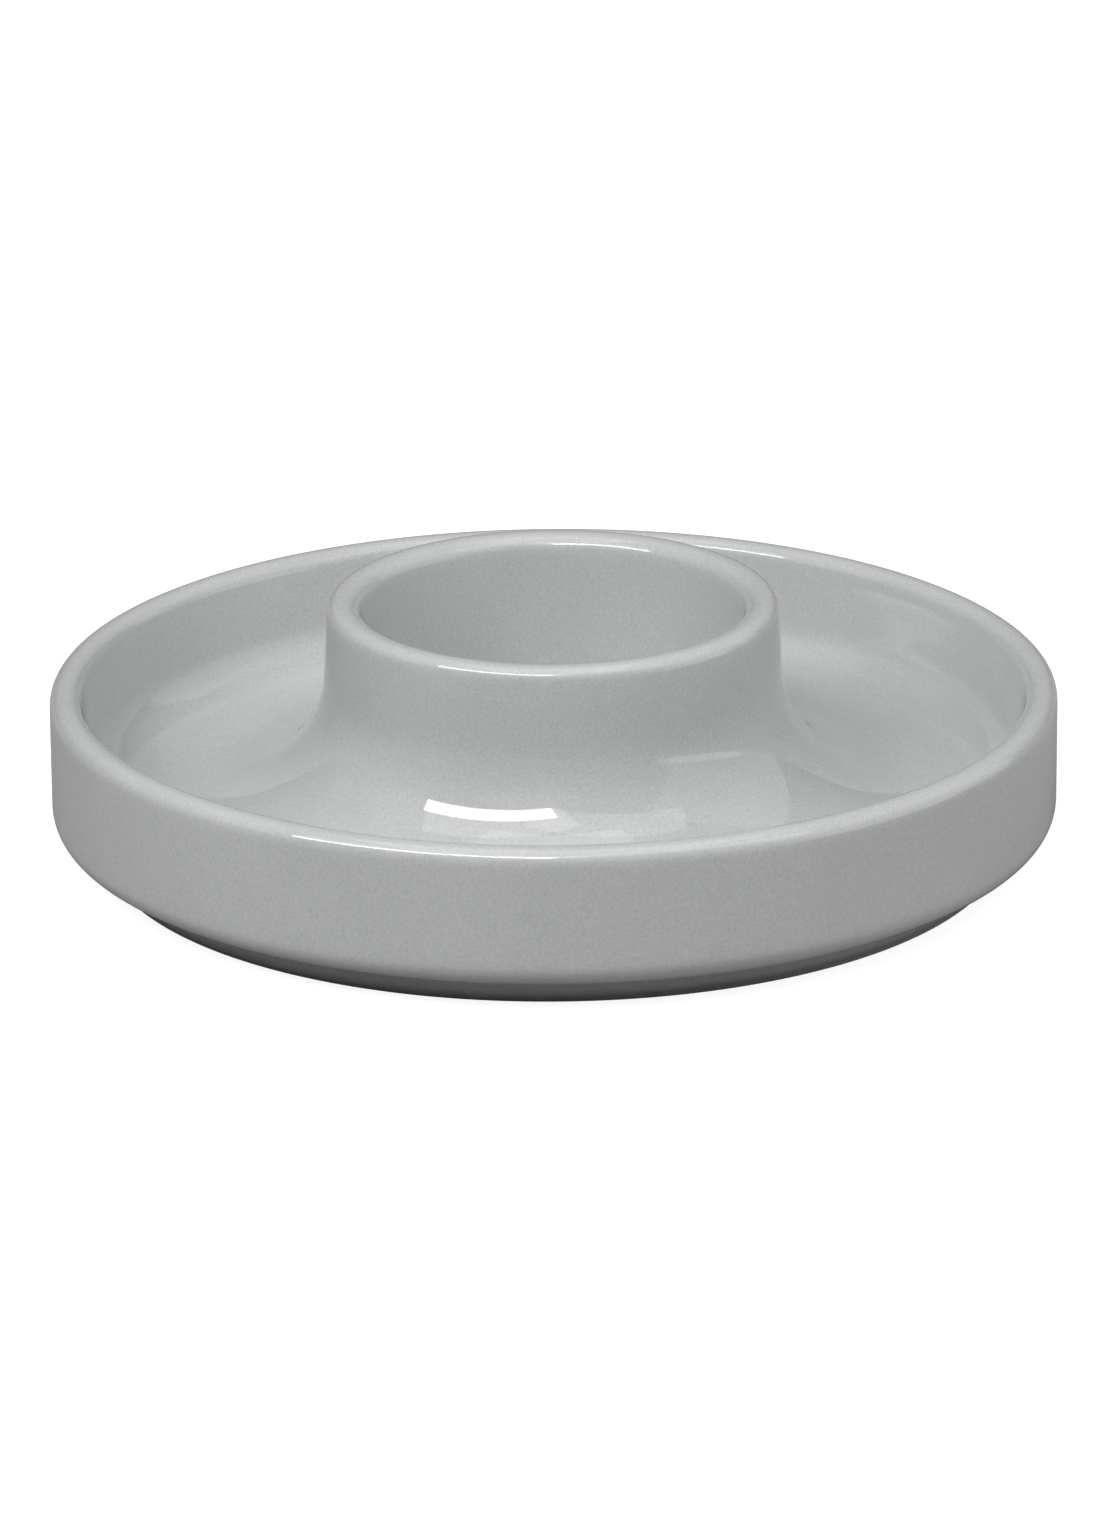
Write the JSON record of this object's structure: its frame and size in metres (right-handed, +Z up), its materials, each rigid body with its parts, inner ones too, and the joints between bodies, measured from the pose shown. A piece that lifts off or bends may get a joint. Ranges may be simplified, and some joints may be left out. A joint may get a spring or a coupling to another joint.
{
  "type": "egg cup with tray",
  "caption": "Round glazed ceramic dish: a raised open cup stands in the middle of a ring-shaped tray with an upright wall and a low foot. Also read as a chip and dip server.",
  "frame": {"origin": "centre of the foot ring's resting face", "axes": "+Z up along the axis that the piece is turned about; X and Y are any two level directions"},
  "size_m": [0.125, 0.125, 0.0328],
  "materials": {
    "bare_clay": "matt, fine grained, bare fired clay",
    "grey_glaze": "glossy pale grey glaze with a fine mottle"
  },
  "bodies": {
    "root": {"clay_body": "bare_clay", "upper_glaze": "grey_glaze", "underside_glaze": "grey_glaze"}
  },
  "joints": []
}
